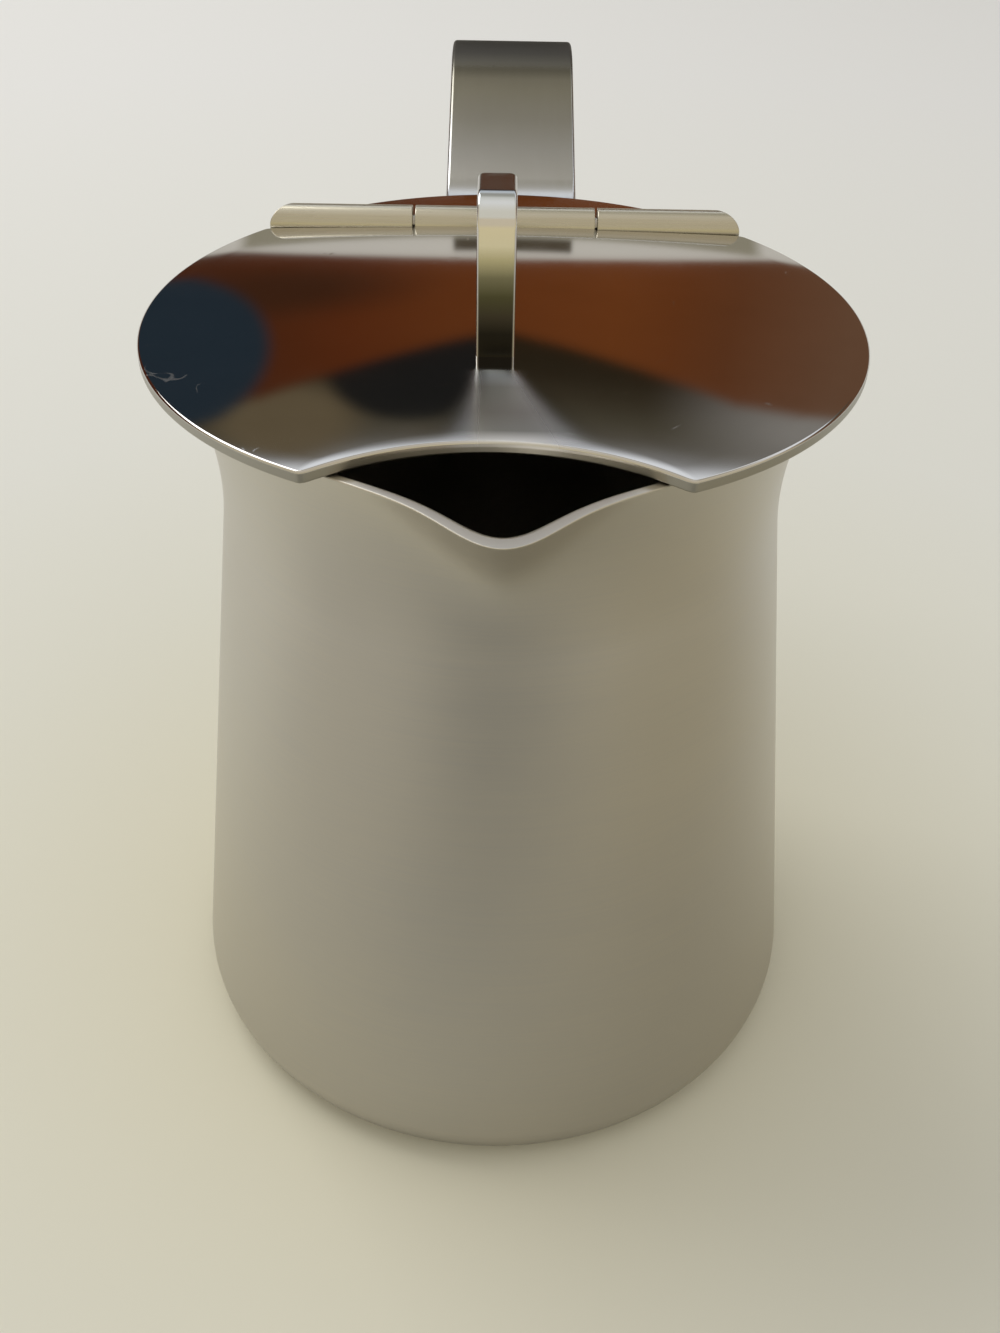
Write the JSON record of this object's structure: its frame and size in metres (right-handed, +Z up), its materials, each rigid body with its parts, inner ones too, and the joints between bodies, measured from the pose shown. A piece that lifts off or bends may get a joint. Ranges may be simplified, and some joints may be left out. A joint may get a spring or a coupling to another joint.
{
  "type": "creamer pitcher with hinged lid",
  "caption": "Small conical metal pitcher with a pulled spout, a round domed lid on a rear hinge, a thumb lift and a bent band handle.",
  "frame": {"origin": "centre of the flat base, on the surface that the pitcher stands on", "axes": "+Z up, -Y towards the spout, +Y towards the handle, +X to the right of a person who looks along +Y"},
  "size_m": [0.0832, 0.1341, 0.1105],
  "materials": {
    "satin_body": "satin, with a faint grain round the body",
    "satin_base": "satin",
    "polished_cover": "polished, as the lid",
    "satin_knuckles": "fine satin, as drawn tube",
    "steel_pin": "bright drawn wire",
    "polished_lid": "mirror polish with fine scratches",
    "polished_lift": "mirror polish",
    "satin_handle": "satin along the band, edges softened"
  },
  "bodies": {
    "vessel": {"body_shell": "satin_body", "base_plate": "satin_base", "rear_cover": "polished_cover", "left_hinge_knuckle": "satin_knuckles", "right_hinge_knuckle": "satin_knuckles", "hinge_pin": "steel_pin", "handle_band": "satin_handle"},
    "lid": {"lid_plate": "polished_lid", "centre_hinge_knuckle": "satin_knuckles", "thumb_lift": "polished_lift"}
  },
  "joints": [
    {"name": "lid_hinge", "type": "hinge", "parent": "vessel", "child": "lid", "pos_m": [0, 0.03, 0.0948], "axis": [-1, 0, 0], "range_deg": [0, 139]}
  ]
}
